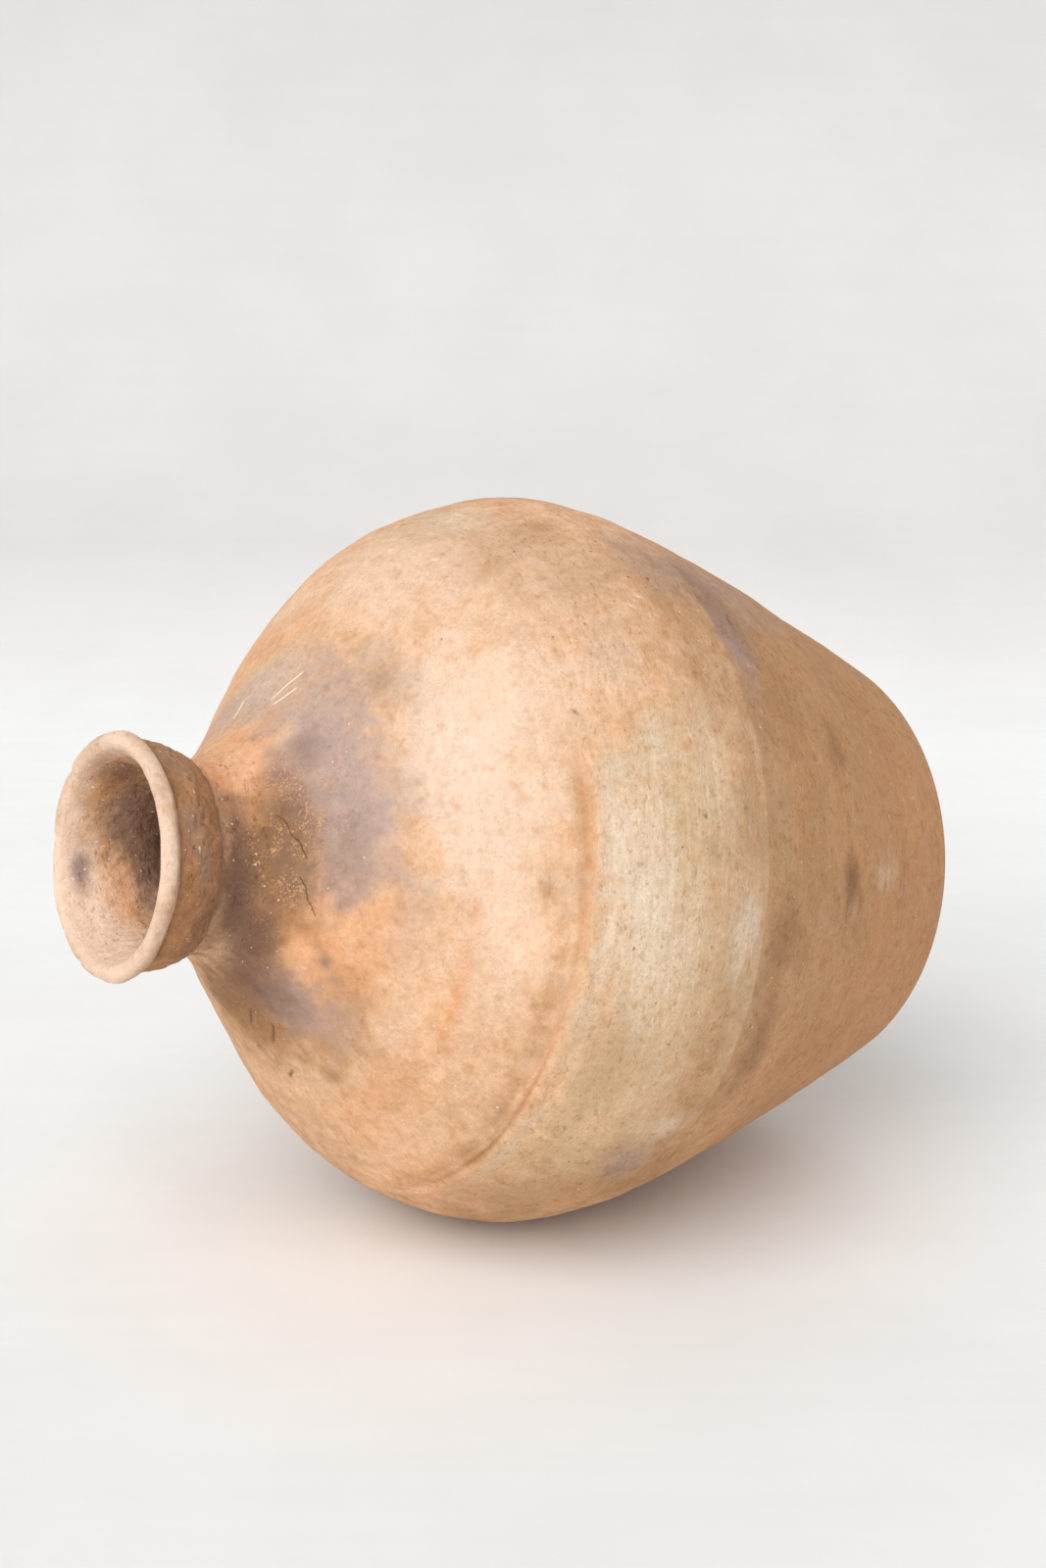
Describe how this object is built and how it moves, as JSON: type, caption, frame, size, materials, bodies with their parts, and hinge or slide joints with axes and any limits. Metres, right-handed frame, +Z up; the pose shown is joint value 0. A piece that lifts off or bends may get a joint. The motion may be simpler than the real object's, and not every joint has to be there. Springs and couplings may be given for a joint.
{
  "type": "rice wine jar",
  "caption": "Unglazed earthenware storage jar with a flat base, full belly, sloping shoulder and a narrow collared mouth with a rolled lip.",
  "frame": {"origin": "centre of the flat underside that the jar stands on", "axes": "+Z up along the jar's own axis, from the base to the mouth; X and Y across it, with the pictured side towards -Y"},
  "size_m": [0.35, 0.35, 0.413],
  "materials": {
    "foot_clay": "unglazed fired earthenware, wiped in rings, matt",
    "belly_clay": "unglazed fired earthenware, pale and hazed, matt",
    "shoulder_clay": "unglazed fired earthenware with smoke clouds, matt",
    "neck_clay": "unglazed fired earthenware, pitted and smoked, matt",
    "lip_clay": "unglazed fired earthenware, worn pale, matt"
  },
  "bodies": {
    "root": {"base_disc": "foot_clay", "lower_wall": "foot_clay", "belly_band": "belly_clay", "lower_shoulder": "shoulder_clay", "upper_shoulder": "shoulder_clay", "neck": "neck_clay", "collar_band": "neck_clay", "lip_roll": "lip_clay"}
  },
  "joints": []
}
